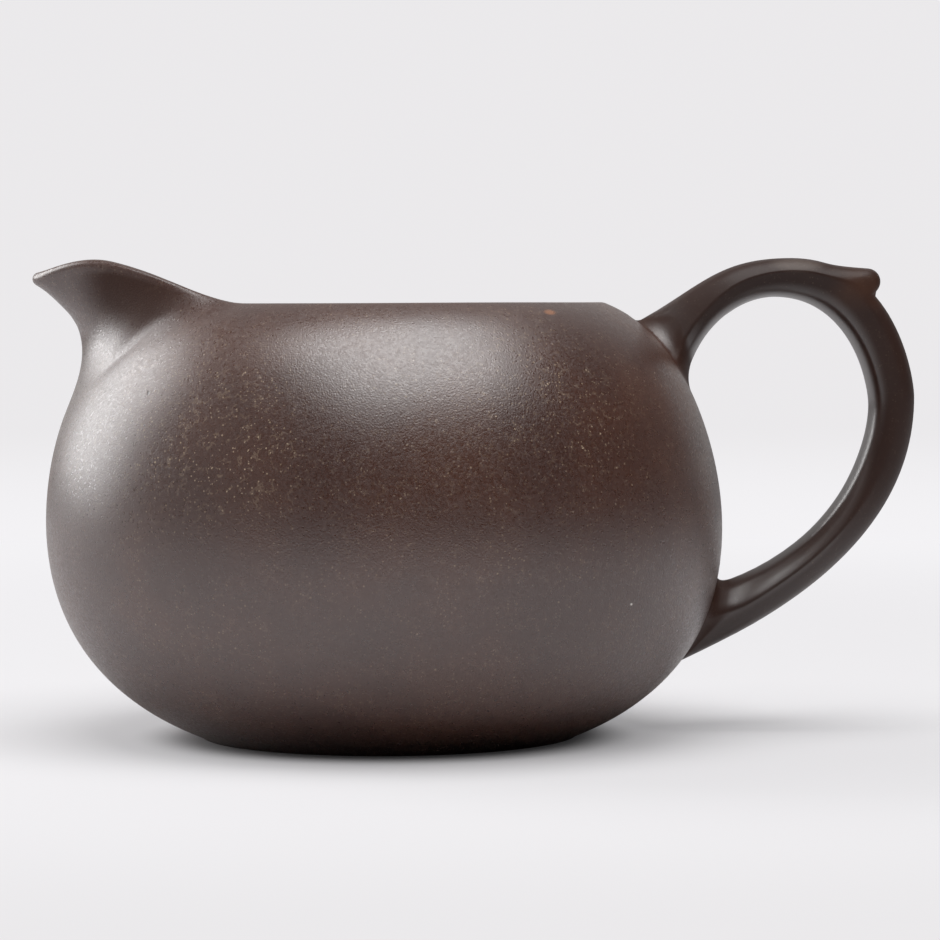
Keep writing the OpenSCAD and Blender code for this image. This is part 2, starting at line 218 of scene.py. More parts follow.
class Bowl:
    """The bowl's surfaces: phi is the turn from the lip, v runs from foot 0 over belly 1 to rim 2."""

    shoulder_arm = 0.0117
    belly_arm_up = 0.0107
    belly_arm_down = 0.021
    foot_slope = radians(25)
    foot_arm = 0.0033
    foot_bevel = np.array([0.0005, 0.0003])
    floor_blend = 0.0016
    lip_crest = 4.5
    lip_ease = 3.65
    pull_ease = 2.5
    tip_fullness = 0.03
    fullness_at = 0.17
    fullness_span = 0.14
    crease_depth = 0.0003
    crease_start = radians(41)
    crease_turn = radians(20.4)
    crease_span = radians(4.2)
    crease_from = 0.35
    crease_fade = 0.2

    def __init__(self, size):
        self.size = size
        belly = np.array([size.belly_width / 2, size.belly_height])
        self.rim = np.array([size.rim_width / 2, size.rim_height])
        foot = np.array([size.foot_width / 2, 0]) + self.foot_bevel
        self.lower = [foot, foot + self.foot_arm * heading(self.foot_slope),
                      belly - [0, self.belly_arm_down], belly]
        self.upper = [belly, belly + [0, self.belly_arm_up],
                      self.rim + self.shoulder_arm * heading(-size.shoulder_slope), self.rim]
        self.sample_v = np.linspace(0, 2, 2001)
        samples = self.profile(self.sample_v)
        self.sample_h = samples[:, 1]
        self.sample_r = samples[:, 0]
        steps = np.linalg.norm(np.diff(samples, axis=0), axis=1)
        self.sample_run = np.concatenate([[0], np.cumsum(steps)])

    def profile(self, v):
        v = np.asarray(v, float)
        low = bezier(self.lower, np.minimum(v, 1))
        high = bezier(self.upper, np.maximum(v, 1) - 1)
        return np.where(v[..., None] < 1, low, high)

    def v_at_height(self, height):
        return np.interp(height, self.sample_h, self.sample_v)

    def radius_at_height(self, height):
        return np.interp(height, self.sample_h, self.sample_r)

    def place_at_height(self, height):
        return np.array([self.radius_at_height(height), height])

    def rows(self, spacing, fine_run, fine_share):
        """Values of v at an even spacing along the profile, closer together near the rim."""
        near_rim = smooth((self.sample_run - self.sample_run[-1] + fine_run) / fine_run)
        density = 1 + fine_share * near_rim
        weight = np.concatenate([[0], np.cumsum(np.diff(self.sample_run) * density[1:])])
        count = int(round(weight[-1] / spacing))
        return np.interp(np.linspace(0, weight[-1], count + 1), weight, self.sample_v)

    def drawn(self, phi):
        u = np.abs(phi) / (self.size.lip_spread / 2)
        return np.where(u < 1, (1 - u * u) ** 2, 0)

    def lip_height(self, phi):
        u = np.minimum(np.abs(phi) / (self.size.lip_spread / 2), 1)
        tip = np.minimum(2 * u, 1)
        return (self.size.lip_rise * (1 - u ** self.lip_crest) ** self.lip_ease
                - self.size.tip_drop * (1 - tip * tip) ** 2)

    def below_rim(self, phi, place):
        """The distance from the rim, 1 where the pull of the lip ends."""
        depth = mix(self.size.hollow_depth, self.size.throat_depth, self.drawn(phi))
        return np.linalg.norm(place - self.rim, axis=-1) / depth

    def pull(self, phi, place):
        """1 at the rim and 0 where the lip's pull ends, a little fuller under the tip."""
        u = self.below_rim(phi, place)
        fuller = self.tip_fullness * np.exp(-((u - self.fullness_at) / self.fullness_span) ** 2)
        at_edge = np.exp(-(self.fullness_at / self.fullness_span) ** 2) * self.tip_fullness
        fuller = (fuller - at_edge * (1 - np.minimum(u, 1))) * self.drawn(phi) ** 2
        return np.maximum(1 - u, 0) ** self.pull_ease + np.where(u < 1, np.maximum(fuller, 0), 0)

    def crease(self, phi, place):
        """Depth of the soft crease on each side of the throat."""
        u = self.below_rim(phi, place)
        across = (np.abs(phi) - self.crease_start + self.crease_turn * u) / self.crease_span
        ends = smooth((u - self.crease_from) / self.crease_fade) * smooth((1 - u) / self.crease_fade)
        return self.crease_depth * np.exp(-across ** 2) * ends

    def skin(self, phi, v):
        phi, v = arrays(phi, v)
        place = self.profile(v)
        drawn = self.drawn(phi)
        pull = np.where(v < 1, 0, self.pull(phi, place))
        radius = place[..., 0] - np.where(v < 1, 0, self.crease(phi, place))
        return np.stack([
            -radius * np.cos(phi) - self.size.lip_reach * drawn * pull,
            radius * np.sin(phi) * (1 - self.size.lip_squeeze * drawn * pull),
            place[..., 1] + self.lip_height(phi) * pull], axis=-1)

    def along(self, phi, v):
        step = 0.004
        top = np.minimum(2, np.asarray(v, float) + step)
        return unit(self.skin(phi, top) - self.skin(phi, top - 2 * step))

    def outward(self, phi, v):
        step = 0.0035
        around = unit(self.skin(phi + step, v) - self.skin(phi - step, v))
        return unit(np.cross(self.along(phi, v), around))

    def edge_thickness(self, phi):
        return mix(self.size.rim_thickness, self.size.tip_thickness, self.drawn(phi))

    def lining(self, phi, v):
        phi, v = arrays(phi, v)
        to_rim = np.linalg.norm(self.profile(v) - self.rim, axis=-1)
        near_edge = smooth(1 - to_rim / self.size.throat_depth)
        wall = np.where(v < 1, self.size.wall, mix(self.size.wall, self.edge_thickness(phi), near_edge))
        points = self.skin(phi, v) - wall[..., None] * self.outward(phi, v)
        floor = self.size.foot_recess + self.size.floor_thickness
        height = points[..., 2]
        raised = (height + floor + np.sqrt((height - floor) ** 2 + self.floor_blend ** 2)) / 2
        points[..., 2] = np.where(v < 1, raised, height)
        return points

    def edge(self, phi, turn):
        """The rounded edge of rim and lip; turn runs from 0 outside to pi inside."""
        out = self.outward(phi, np.full_like(phi, 2.0))
        up = self.along(phi, np.full_like(phi, 2.0))
        radius = self.edge_thickness(phi)[..., None] / 2
        return self.skin(phi, 2.0) - radius * out + radius * (cos(turn) * out + sin(turn) * up)


class Handle:
    """The handle's surface: s runs from the upper joint 0 to the lower one 3, a is the turn round it."""

    upper_outer_height = 0.0550
    upper_inner_height = 0.0469
    lower_inner_height = 0.0196
    lower_outer_height = 0.0090
    upper_outer_slope = radians(29.3)
    upper_inner_slope = radians(77.4)
    lower_outer_slope = radians(24)
    lower_inner_slope = radians(17)
    outer_arms = [0.0104, 0.0096, 0.014, 0.003, 0.0196, 0.0149]
    inner_arms = [0.0085, 0.0041, 0.0098, 0.0036, 0.0043, 0.0197]
    top_shift = 0.0022
    grip_shift = 0.0007
    nose_from = radians(85)
    nose_to = radians(-48)
    notch_length = 1.25
    lift_share = 5 / 12
    nose_share = 11 / 12
    thumb_reach = 0.42
    thumb_flare = 0.04
    flare_reach = 0.26
    flare_skew = 1.4
    flare_edge = 1.6
    crown_roundness = 0.5
    inner_roundness = 0.55
    ridge_rounding = 0.5
    bead_height = 0.04
    bead_at = 0.93
    bead_width = 0.08
    bead_rise = 8
    crown_border = -0.6
    arm_border = 0.1
    arm_dull = 0.6
    arm_from = 2.2
    border_blend = 0.4
    dull_from = 0.06
    dull_span = 0.26
    inner_inset = 0.00045
    neck = 0.10
    neck_at = 2.90
    neck_span = 0.05
    # Along s: share of the thickness outside the side ridge; how wide and how flat the flanks on its two
    # sides start; over what span and how round they start; inset, softness and bead of the inner side
    section_places = [0, 0.25, 0.6, 1, 1.25, 1.45, 1.8, 2.2, 2.5, 2.75, 3]
    ridge_shares = [0.68, 0.55, 0.42, 0.33, 0.28, 0.32, 0.4, 0.5, 0.5, 0.52, 0.52]
    crown_starts = [0.15, 0.3, 0.6, 0.6, 0.6, 0.6, 0.6, 0.6, 0.6, 0.6, 0.6]
    crown_flatness = [0.9, 0.75, 0.6, 0.6, 0.6, 0.3, 0, 0, 0.1, 0.2, 0.3]
    inner_starts = [0.35, 0.35, 0.5, 0.58, 0.75, 0.84, 0.84, 0.66, 0.34, 0.3, 0.3]
    inner_flatness = [0, 0, 0.3, 0.4, 0.6, 0.8, 0.8, 0.8, 0.9, 0.9, 0.8]
    start_spans = [0.12, 0.12, 0.16, 0.2, 0.25, 0.26, 0.3, 0.3, 0.28, 0.28, 0.28]
    start_powers = [0.6, 0.6, 0.6, 0.7, 0.85, 0.85, 0.65, 0.5, 0.5, 0.5, 0.5]
    inset_shares = [0, 0, 0, 0, 0, 0.1, 0.35, 0.8, 0.4, 0, 0]
    ridge_softness = [0, 0, 0, 0, 0.1, 0.4, 0.7, 1, 1, 1, 1]
    bead_shares = [0, 0, 0, 0, 0, 0, 0, 0.4, 1, 1, 0]

    def __init__(self, size, bowl):
        self.size = size
        top = bowl.rim + [size.handle_top_out, size.handle_rise]
        grip = np.array([size.belly_width / 2 + size.grip_out, top[1] - size.grip_drop])
        self.outer = self.rail_curves(
            bowl.place_at_height(self.upper_outer_height), self.upper_outer_slope, top, grip,
            bowl.place_at_height(self.lower_outer_height), self.lower_outer_slope, self.outer_arms)
        self.inner = self.rail_curves(
            bowl.place_at_height(self.upper_inner_height), self.upper_inner_slope,
            top - [self.top_shift, size.top_thickness], grip - [size.grip_thickness, self.grip_shift],
            bowl.place_at_height(self.lower_inner_height), self.lower_inner_slope, self.inner_arms)
        self.set_thumb_rest(top)

    @staticmethod
    def rail_curves(start, start_slope, top, side, end, end_slope, arms):
        return [
            [start, start + arms[0] * heading(start_slope), top - [arms[1], 0], top],
            [top, top + [arms[2], 0], side + [0, arms[3]], side],
            [side, side - [0, arms[4]], end + arms[5] * heading(end_slope), end]]

    @staticmethod
    def rail(curves, s):
        s = np.asarray(s, float)
        part = np.clip(np.floor(s), 0, 2)[..., None]
        first, second, third = (bezier(curve, s - k) for k, curve in enumerate(curves))
        return np.where(part == 0, first, np.where(part == 1, second, third))

    def set_thumb_rest(self, top):
        samples = np.linspace(1, 2, 2001)
        places = self.rail(self.outer, samples)
        at = float(np.interp(top[0] + self.size.thumb_at, places[:, 0], samples))
        step = 0.01
        run = (self.rail(self.outer, at + step) - self.rail(self.outer, at - step)) / (2 * step)
        speed = float(np.linalg.norm(run))
        out = np.array([-run[1], run[0]]) / speed
        self.nose_radius = self.size.thumb_thickness / 2
        self.nose = self.rail(self.outer, at) + self.size.thumb_out * out
        self.thumb_start = at - self.size.thumb_length / speed
        self.thumb_end = at + self.notch_length * self.nose_radius / speed
        start = self.rail(self.outer, self.thumb_start)
        leave = unit(self.rail(self.outer, self.thumb_start + step) - start)
        crest = self.nose + self.nose_radius * heading(self.nose_from)
        third = self.size.thumb_length / 3
        back = heading(self.nose_from - pi / 2)
        self.lift = [start, start + third * leave, crest - third * back, crest]

    def thumb_path(self, t):
        """The outer side over the thumb rest, for t from 0 to 1: up the lift, round the nose and back."""
        lift = bezier(self.lift, np.clip(t / self.lift_share, 0, 1))
        nose_t = np.clip((t - self.lift_share) / (self.nose_share - self.lift_share), 0, 1)
        turn = mix(self.nose_from, self.nose_to, nose_t)
        nose = self.nose + self.nose_radius * np.stack([np.cos(turn), np.sin(turn)], axis=-1)
        notch_t = np.clip((t - self.nose_share) / (1 - self.nose_share), 0, 1)[..., None]
        notch = mix(self.nose + self.nose_radius * heading(self.nose_to),
                    self.rail(self.outer, self.thumb_end), notch_t)
        t = t[..., None]
        return np.where(t < self.lift_share, lift, np.where(t < self.nose_share, nose, notch))

    def surface(self, s, a):
        def at(values):
            return np.interp(s, self.section_places, values)

        s, a = arrays(s, a)
        t = np.clip((s - self.thumb_start) / (self.thumb_end - self.thumb_start), 0, 1)
        outer = self.rail(self.outer, s)
        inner = self.rail(self.inner, s)
        inset = self.inner_inset * at(self.inset_shares)
        inner = inner + inset[..., None] * unit(outer - inner)
        lift = np.where((t > 0)[..., None] & (t < 1)[..., None], self.thumb_path(t) - outer, 0)
        ridge = at(self.ridge_shares)
        crown = np.cos(a) > 0
        u = ridge - np.cos(a) * np.where(crown, ridge, 1 - ridge)
        q = 1 - np.abs(np.cos(a))
        roundness = np.where(crown, self.crown_roundness, self.inner_roundness)
        flatness = np.where(crown, at(self.crown_flatness), at(self.inner_flatness))
        start = np.where(crown, at(self.crown_starts), at(self.inner_starts))
        softness = self.ridge_rounding * at(self.ridge_softness)
        rounded = (1 - (1 - np.minimum(1, q / at(self.start_spans))) ** 2) ** at(self.start_powers)
        flat_flank = mix(start, 1, 1 - (1 - q) ** (1 + softness)) * rounded
        side = mix((q * (2 - q)) ** roundness, flat_flank, flatness)
        bead = self.bead_height * at(self.bead_shares)
        bead = bead * np.exp(-((u - self.bead_at) / self.bead_width) ** 2)
        side = side + bead * np.minimum(1, self.bead_rise * q)
        flare = smooth(self.flare_edge - self.flare_edge * u / self.flare_reach)
        flare = flare * self.thumb_flare * np.sin(pi * t ** self.flare_skew) ** 2
        width = mix(self.size.grip_width, self.size.root_width, smooth(np.abs(s - 1.5) - 0.5))
        width = width * (1 - self.neck * np.exp(-((s - self.neck_at) / self.neck_span) ** 2))
        place = mix(outer, inner, u[..., None]) + lift * smooth(1 - u / self.thumb_reach)[..., None]
        across = width / 2 * np.sign(np.sin(a)) * side * (1 + flare)
        return np.stack([place[..., 0], across, place[..., 1]], axis=-1)

    def crown_mark(self, s, a):
        """1 on the duller outer side of the strap and 0 on its inner side."""
        on_arm = smooth((s - self.arm_from) / self.border_blend)
        border = mix(self.crown_border, self.arm_border, on_arm)
        dull = mix(1, self.arm_dull, on_arm) * smooth((s - self.dull_from) / self.dull_span)
        return dull * smooth((np.cos(a) - border) / self.border_blend + 0.5)


class Joint:
    """One end of the handle: a window in the bowl's rows of faces, and the rings that lead out of it."""

    approach_rings = 4
    fillet_rings = 10
    halvings = 40
    step = 0.01
    # Fillets as shares of the joint fillet: on the outer edge and on the inner edge
    outer_fillet = 0.6
    inner_fillet = 2.3
    foot_share = 0.35
    side_span = radians(36)
    sheen_span = radians(15)
    # Painted shade and duller sheen of the crease: share on the bowl, rise and fade
    hollow_on_bowl = 0.4
    hollow_rise = 1.5
    hollow_fade = 0.4

    def __init__(self, bowl, handle, inside, outside, side_fillet, side_at, sheen, hollow_reach):
        self.handle = handle
        self.hollow_reach = hollow_reach
        turns = np.arange(handle_sides) * 2 * pi / handle_sides
        low = np.full(handle_sides, float(inside))
        high = np.full(handle_sides, float(outside))
        for _ in range(self.halvings):
            middle = (low + high) / 2
            points = handle.surface(middle, turns)
            clear = np.hypot(points[:, 0], points[:, 1]) > bowl.radius_at_height(points[:, 2])
            high = np.where(clear, middle, high)
            low = np.where(clear, low, middle)
        meeting_s = (low + high) / 2
        self.corner = handle.surface(meeting_s, turns)
        at_edge = np.where(np.cos(turns) > 0, self.outer_fillet, self.inner_fillet)
        half_turns = np.abs(np.arctan2(np.sin(turns), np.cos(turns)))
        at_side = np.exp(-((half_turns - side_at) / self.side_span) ** 2)
        fillet = handle.size.joint_fillet * mix(at_edge, side_fillet, at_side)
        on_bowl_share = mix(1, self.foot_share, at_side)
        step = copysign(self.step, outside - inside)
        run = np.linalg.norm(handle.surface(meeting_s + step, turns) - self.corner, axis=1)
        self.leave_s = meeting_s + step * fillet / run
        self.leave = handle.surface(self.leave_s, turns)
        phi, v = self.on_bowl(bowl, self.corner)
        away = self.corner - self.corner.mean(axis=0)
        normal = bowl.outward(phi, v)
        away = unit(away - (away * normal).sum(axis=1)[:, None] * normal)
        self.foot_phi, self.foot_v = self.on_bowl(
            bowl, self.corner + (fillet * on_bowl_share)[:, None] * away)
        self.foot = bowl.skin(self.foot_phi, self.foot_v)
        self.turns = turns
        # How strongly the crease round the joint is painted with shade and dulled, less by sheen near
        # side_at
        self.depth = 1 - sheen * np.exp(-((half_turns - side_at) / self.sheen_span) ** 2)

    @staticmethod
    def on_bowl(bowl, points):
        return pi - np.arctan2(points[:, 1], points[:, 0]), bowl.v_at_height(points[:, 2])

    def rings(self, bowl, window_phi, window_v):
        """Rings from the window's border to where the handle leaves its fillet, with their marks."""
        made = []
        for k in range(1, self.approach_rings):
            t = smooth(k / self.approach_rings)
            ring = bowl.skin(mix(window_phi, self.foot_phi, t), mix(window_v, self.foot_v, t))
            made.append((ring, {"hollow": self.hollow_on_bowl * t * t * self.depth}))
        for k in range(self.fillet_rings + 1):
            t = k / self.fillet_rings
            ring = (1 - t) ** 2 * self.foot + 2 * t * (1 - t) * self.corner + t * t * self.leave
            strap = smooth(t)
            crown = strap * self.handle.crown_mark(self.leave_s, self.turns)
            made.append((ring, {"hollow": self.hollow(t), "strap": strap, "crown": crown}))
        return made

    def hollow(self, t):
        """How strongly the crease is painted with shade and dulled; t is 0 on the bowl, 1 where the
        fillet ends and more on the handle.
        """
        deep = smooth(self.hollow_on_bowl + self.hollow_rise * t)
        return self.depth * deep * (1 - smooth((t - self.hollow_reach) / self.hollow_fade))


# Mesh counts
row_spacing = 0.00105
lining_spacing = 0.0016
fine_run = 0.014
fine_share = 1.3
edge_from = 1.97
edge_rows = 9
window_half = 8
window_rows = 20
handle_sides = 4 * window_half + 2 * window_rows
handle_step = 0.0007
transition_rings = 7
transition_s = 0.32
hollow_rings = 8
thumb_rings = 44
cap_rings = 8


class MeshRows:
    """Collects rows of points and the faces between them."""

    def __init__(self):
        self.points = []
        self.marks = {name: [] for name in MARKS}
        self.faces = []
        self.count = 0

    def row(self, points, **marks):
        """Adds points with their marks, which are 0 where none is given."""
        first = self.count
        self.points.append(points)
        for name, values in self.marks.items():
            values.append(np.broadcast_to(marks.get(name, 0), len(points)))
        self.count += len(points)
        return np.arange(first, self.count)

    def bridge(self, a, b, open_parts=None):
        """Faces between two closed rows, apart from the columns that open_parts marks."""
        a2, b2 = np.roll(a, -1), np.roll(b, -1)
        quads = np.stack([a, a2, b2, b], axis=1)
        if open_parts is not None:
            quads = quads[~open_parts]
        self.faces.extend(quads.tolist())

    def next_row(self, last, points, **marks):
        """Adds a row and the faces between it and the last one."""
        row = self.row(points, **marks)
        self.bridge(last, row)
        return row

    def cap(self, row, centre):
        """Closes a row with rings that shrink to its centre."""
        border = np.concatenate(self.points)[row]
        for k in range(1, cap_rings):
            row = self.next_row(row, mix(border, centre, k / cap_rings))
        middle = self.row(np.array([centre]))[0]
        self.faces.extend([[int(p), int(q), int(middle)] for p, q in zip(row, np.roll(row, -1))])

    def mesh(self, name):
        points = np.concatenate(self.points)
        used = np.unique(np.concatenate([np.array(f) for f in self.faces]))
        new_index = np.full(len(points), -1)
        new_index[used] = np.arange(len(used))
        mesh = bpy.data.meshes.new(name)
        mesh.from_pydata(points[used].tolist(), [], [[int(new_index[i]) for i in f] for f in self.faces])
        shaped = bmesh.new()
        shaped.from_mesh(mesh)
        bmesh.ops.recalc_face_normals(shaped, faces=shaped.faces)
        shaped.to_mesh(mesh)
        shaped.free()
        for mark, values in self.marks.items():
            layer = mesh.attributes.new(mark, "FLOAT", "POINT")
            layer.data.foreach_set("value", np.concatenate(values)[used].astype(np.float32))
        mesh.shade_smooth()
        return mesh


def circle(radius, height, phi):
    return np.stack([-radius * np.cos(phi), radius * np.sin(phi), np.full_like(phi, height)], axis=-1)


def window_border(first_row, top_first):
    """Column and row steps round a window, in the order of the handle's turns."""
    top, bottom, down = first_row + window_rows, first_row, -1
    if not top_first:
        top, bottom, down = bottom, top, 1
    border = [(-i, top) for i in range(window_half)]
    border += [(-window_half, top + down * j) for j in range(window_rows)]
    border += [(-window_half + i, bottom) for i in range(2 * window_half)]
    border += [(window_half, bottom - down * j) for j in range(window_rows)]
    border += [(window_half - i, top) for i in range(window_half)]
    return border


def pitcher_rows(size):
    """The whole pitcher as one closed skin."""
    bowl = Bowl(size)
    handle = Handle(size, bowl)
    rows = MeshRows()
    count = size.columns
    steps = 2 * pi * np.arange(count) / count - pi
    crowding = 0.4
    phi = steps - crowding * np.sin(steps)

    # Underside: recess, foot ring and its soft edges
    foot = size.foot_width / 2
    recess = foot - size.foot_ring
    soft = 0.00025
    slope = 0.001
    under = [
        (recess - slope, size.foot_recess), (recess - slope * 0.2, size.foot_recess * 0.2),
        (recess + soft, 0), (foot - soft, 0), (foot + soft, soft * 0.35)]
    last = rows.row(circle(*under[0], phi))
    rows.cap(last, np.array([0, 0, size.foot_recess]))
    for radius, height in under[1:]:
        last = rows.next_row(last, circle(radius, height, phi))

    # Outer skin, with a window at each joint
    v = bowl.rows(row_spacing, fine_run, fine_share)
    joints = [
        Joint(bowl, handle, inside=-0.15, outside=0.5, side_fillet=3.3, side_at=radians(62),
              sheen=0.6, hollow_reach=0.9),
        Joint(bowl, handle, inside=3.15, outside=2.5, side_fillet=3.0, side_at=radians(95),
              sheen=0.2, hollow_reach=0.85)]
    first_rows = []
    for joint in joints:
        lowest, highest = np.searchsorted(v, (joint.foot_v.min(), joint.foot_v.max()))
        first_rows.append(int(lowest + highest - window_rows) // 2)
    in_window = np.zeros(count, bool)
    in_window[np.r_[:window_half, -window_half:0]] = True
    grid = []
    for j, v_row in enumerate(v):
        edge = smooth((v_row - edge_from) / (2 - edge_from))
        grid.append(rows.row(bowl.skin(phi, np.full(count, v_row)), edge=edge))
        open_here = any(first <= j - 1 < first + window_rows for first in first_rows)
        rows.bridge(last, grid[-1], in_window if open_here else None)
        last = grid[-1]

    # Rounded edge, lining and floor
    for k in range(1, edge_rows):
        last = rows.next_row(last, bowl.edge(phi, pi * k / edge_rows), edge=1)
    for v_row in bowl.rows(lining_spacing, fine_run, fine_share)[::-1]:
        last = rows.next_row(last, bowl.lining(phi, np.full(count, v_row)))
    floor_height = float(np.concatenate(rows.points)[last][:, 2].mean())
    rows.cap(last, np.array([0, 0, floor_height]))

    # Handle, from the window at the upper joint to the one at the lower joint
    def strap_row(s, hollow=0):
        turns = joints[0].turns
        crown = handle.crown_mark(s, turns)
        return rows.row(handle.surface(s, turns), hollow=hollow, strap=1, crown=crown)

    chains = []
    for joint, first_row, top_first in zip(joints, first_rows, (True, False)):
        border = window_border(first_row, top_first)
        border_rows = np.array([grid[j][i % count] for i, j in border])
        border_phi = np.array([phi[i % count] for i, _ in border])
        border_phi = np.where(border_phi < 0, border_phi + 2 * pi, border_phi)
        border_v = np.array([v[j] for _, j in border])
        chain = [border_rows]
        chain += [rows.row(ring, **marks) for ring, marks in joint.rings(bowl, border_phi, border_v)]
        inner_s = transition_s if top_first else 3 - transition_s
        for k in range(1, transition_rings):
            t = k / transition_rings
            s = mix(joint.leave_s, inner_s, mix(t, smooth(t), 0.4))
            chain.append(strap_row(s, joint.hollow(1 + k / hollow_rings)))
        chains.append(chain)
    middle = [strap_row(s) for s in handle_stations(handle)]
    whole = chains[0] + middle + chains[1][::-1]
    for a, b in zip(whole, whole[1:]):
        rows.bridge(a, b)
    return rows


def handle_stations(handle):
    """Values of s along the handle, at an even spacing and closer together over the thumb rest."""
    fine = np.linspace(transition_s, 3 - transition_s, 3000)
    places = (handle.rail(handle.outer, fine) + handle.rail(handle.inner, fine)) / 2
    run = np.concatenate([[0], np.cumsum(np.linalg.norm(np.diff(places, axis=0), axis=1))])
    count = int(run[-1] / handle_step)
    even = np.interp(np.linspace(0, run[-1], count + 1), run, fine)
    margin = 0.02
    even = even[(even < handle.thumb_start - margin) | (even > handle.thumb_end + margin)]
    thumb = mix(handle.thumb_start, handle.thumb_end, np.linspace(0, 1, thumb_rings))
    return np.sort(np.concatenate([even, thumb]))


def hand_finish(points, size):
    """Moves points by as much as the handmade pitcher strays from its true form."""
    foot_shift = 0.0005
    belly_shift = 0.0002
    shift_height = 0.030
    belly_at = 0.042
    belly_span = 0.012
    handle_from = 0.055
    lip_from = 0.056
    bowl_reach = 0.0452
    bowl_blend = 0.004
    foot_blend = 0.006
    least = 0.00002
    # Waves round the bowl: how many, height, start and turn per metre of height
    waves = [(2, 1.0, 1.1, 60), (3, 0.7, 2.3, -110), (5, 0.5, 0.4, 170)]
    x, y, z = points[:, 0], points[:, 1], points[:, 2]
    at_belly = np.exp(-((z - belly_at) / belly_span) ** 2) * (x < handle_from) * (z < lip_from)
    lean = foot_shift * (1 - smooth(z / shift_height)) - belly_shift * at_belly
    around = np.arctan2(y, x)
    wave = sum(share * np.sin(count * around + start + turn * z) for count, share, start, turn in waves)
    highest = sum(share for _, share, _, _ in waves)
    inward = -unit(points - np.array([0, 0, size.belly_height]))
    on_bowl = 1 - smooth((np.hypot(x, y) - bowl_reach) / bowl_blend)
    depth = size.unevenness * (0.5 + wave / (2 * highest)) * smooth(z / foot_blend) * on_bowl
    moved = points + inward * np.clip(depth, least, None)[:, None]
    moved[:, 0] += lean
    return moved


# Shader
class Wire:
    """An output socket of a shader tree. Sums, differences and products add the Math nodes they need."""

    def __init__(self, tree, socket=None):
        self.tree = tree
        self.socket = socket

    def node(self, kind, settings=None, inputs=None, output=0):
        """Adds a node, sets its settings and sockets, and returns the wire of one output."""
        made = self.tree.nodes.new("ShaderNode" + kind)
        for name, value in (settings or {}).items():
            setattr(made, name, value)
        for name, value in (inputs or {}).items():
            if isinstance(value, Wire):
                self.tree.links.new(value.socket, made.inputs[name])
            elif made.inputs[name].type == "RGBA":
                made.inputs[name].default_value = (*value, 1)
            else:
                made.inputs[name].default_value = value
        return Wire(self.tree, made.outputs[output] if made.outputs else None)

    def other(self, output):
        """The wire of another output of the same node."""
        return Wire(self.tree, self.socket.node.outputs[output])

    def maths(self, operation, *values):
        return self.node("Math", {"operation": operation}, dict(enumerate(values)))

    def __add__(self, other):
        return self.maths("ADD", self, other)

    def __sub__(self, other):
        return self.maths("SUBTRACT", self, other)

    def __rsub__(self, other):
        return self.maths("SUBTRACT", other, self)

    def __mul__(self, other):
        return self.maths("MULTIPLY", self, other)

    def vector(self, operation, inputs, output=0):
        return self.node("VectorMath", {"operation": operation}, inputs, output)

    def fade(self, low, high):
        """0 below low, 1 above high and a smooth step between."""
        inputs = {"Value": self, "From Min": low, "From Max": high}
        return self.node("MapRange", {"interpolation_type": "SMOOTHSTEP"}, inputs)

    def blend(self, a, b):
        """The colour a where this wire is 0 and b where it is 1."""
        return self.node("Mix", {"data_type": "RGBA"}, {0: self, 6: a, 7: b}, output=2)


def new_tree(owner):
    """An empty shader tree."""
    owner.use_nodes = True
    owner.node_tree.nodes.clear()
    return Wire(owner.node_tree)


def near(place, mark, start=(0, 0, 0)):
    """1 at a mark's middle, counted from start, and 0 outside its ellipsoid."""
    middle, half_lengths = mark
    solid = 0.35
    offset = place.vector("SUBTRACT", {0: place, 1: tuple(Vector(start) + Vector(middle))})
    scaled = place.vector("DIVIDE", {0: offset, 1: half_lengths})
    return 1 - place.vector("LENGTH", {0: scaled}, "Value").fade(solid, 1.0)


def cells(place, spacing):
    """Random cells: the distance to the cell's seed, and two random numbers that each cell draws."""
    inputs = {"Vector": place, "Scale": 1 / spacing}
    distance = place.node("TexVoronoi", {"feature": "F1"}, inputs)
    draws = place.node("SeparateColor", None, {"Color": distance.other("Color")})
    return distance, draws, draws.other("Green")


def grains(place, spacing, radius, empty):
    """Small round grains in random places; empty is the share of the cells that hold none."""
    distance, draw, size_draw = cells(place, spacing)
    held = draw.fade(empty, empty + 0.02)
    reach = (size_draw * 0.7 + 0.5) * (radius / spacing)
    return held * (1 - place.maths("DIVIDE", distance, reach).fade(0.6, 1.1))


def noise(place, size, detail):
    inputs = {"Vector": place, "Scale": 1 / size, "Detail": detail, "Roughness": 0.55}
    return place.node("TexNoise", None, inputs, "Fac")


def fibres(place, spacing, thickness):
    """Short thin curls: parts of the borders between random cells."""
    bend = place.node("TexNoise", None, {"Vector": place, "Scale": 1.2 / spacing}, "Color")
    bent = place.vector("ADD", {0: place, 1: place.vector("SCALE", {0: bend, "Scale": spacing})})
    inputs = {"Vector": bent, "Scale": 1 / spacing}
    border = place.node("TexVoronoi", {"feature": "DISTANCE_TO_EDGE"}, inputs)
    kept = noise(place, spacing * 0.9, detail=0.0).fade(0.56, 0.64)
    reach = thickness / spacing
    return kept * (1 - border.fade(reach * 0.5, reach * 1.5))


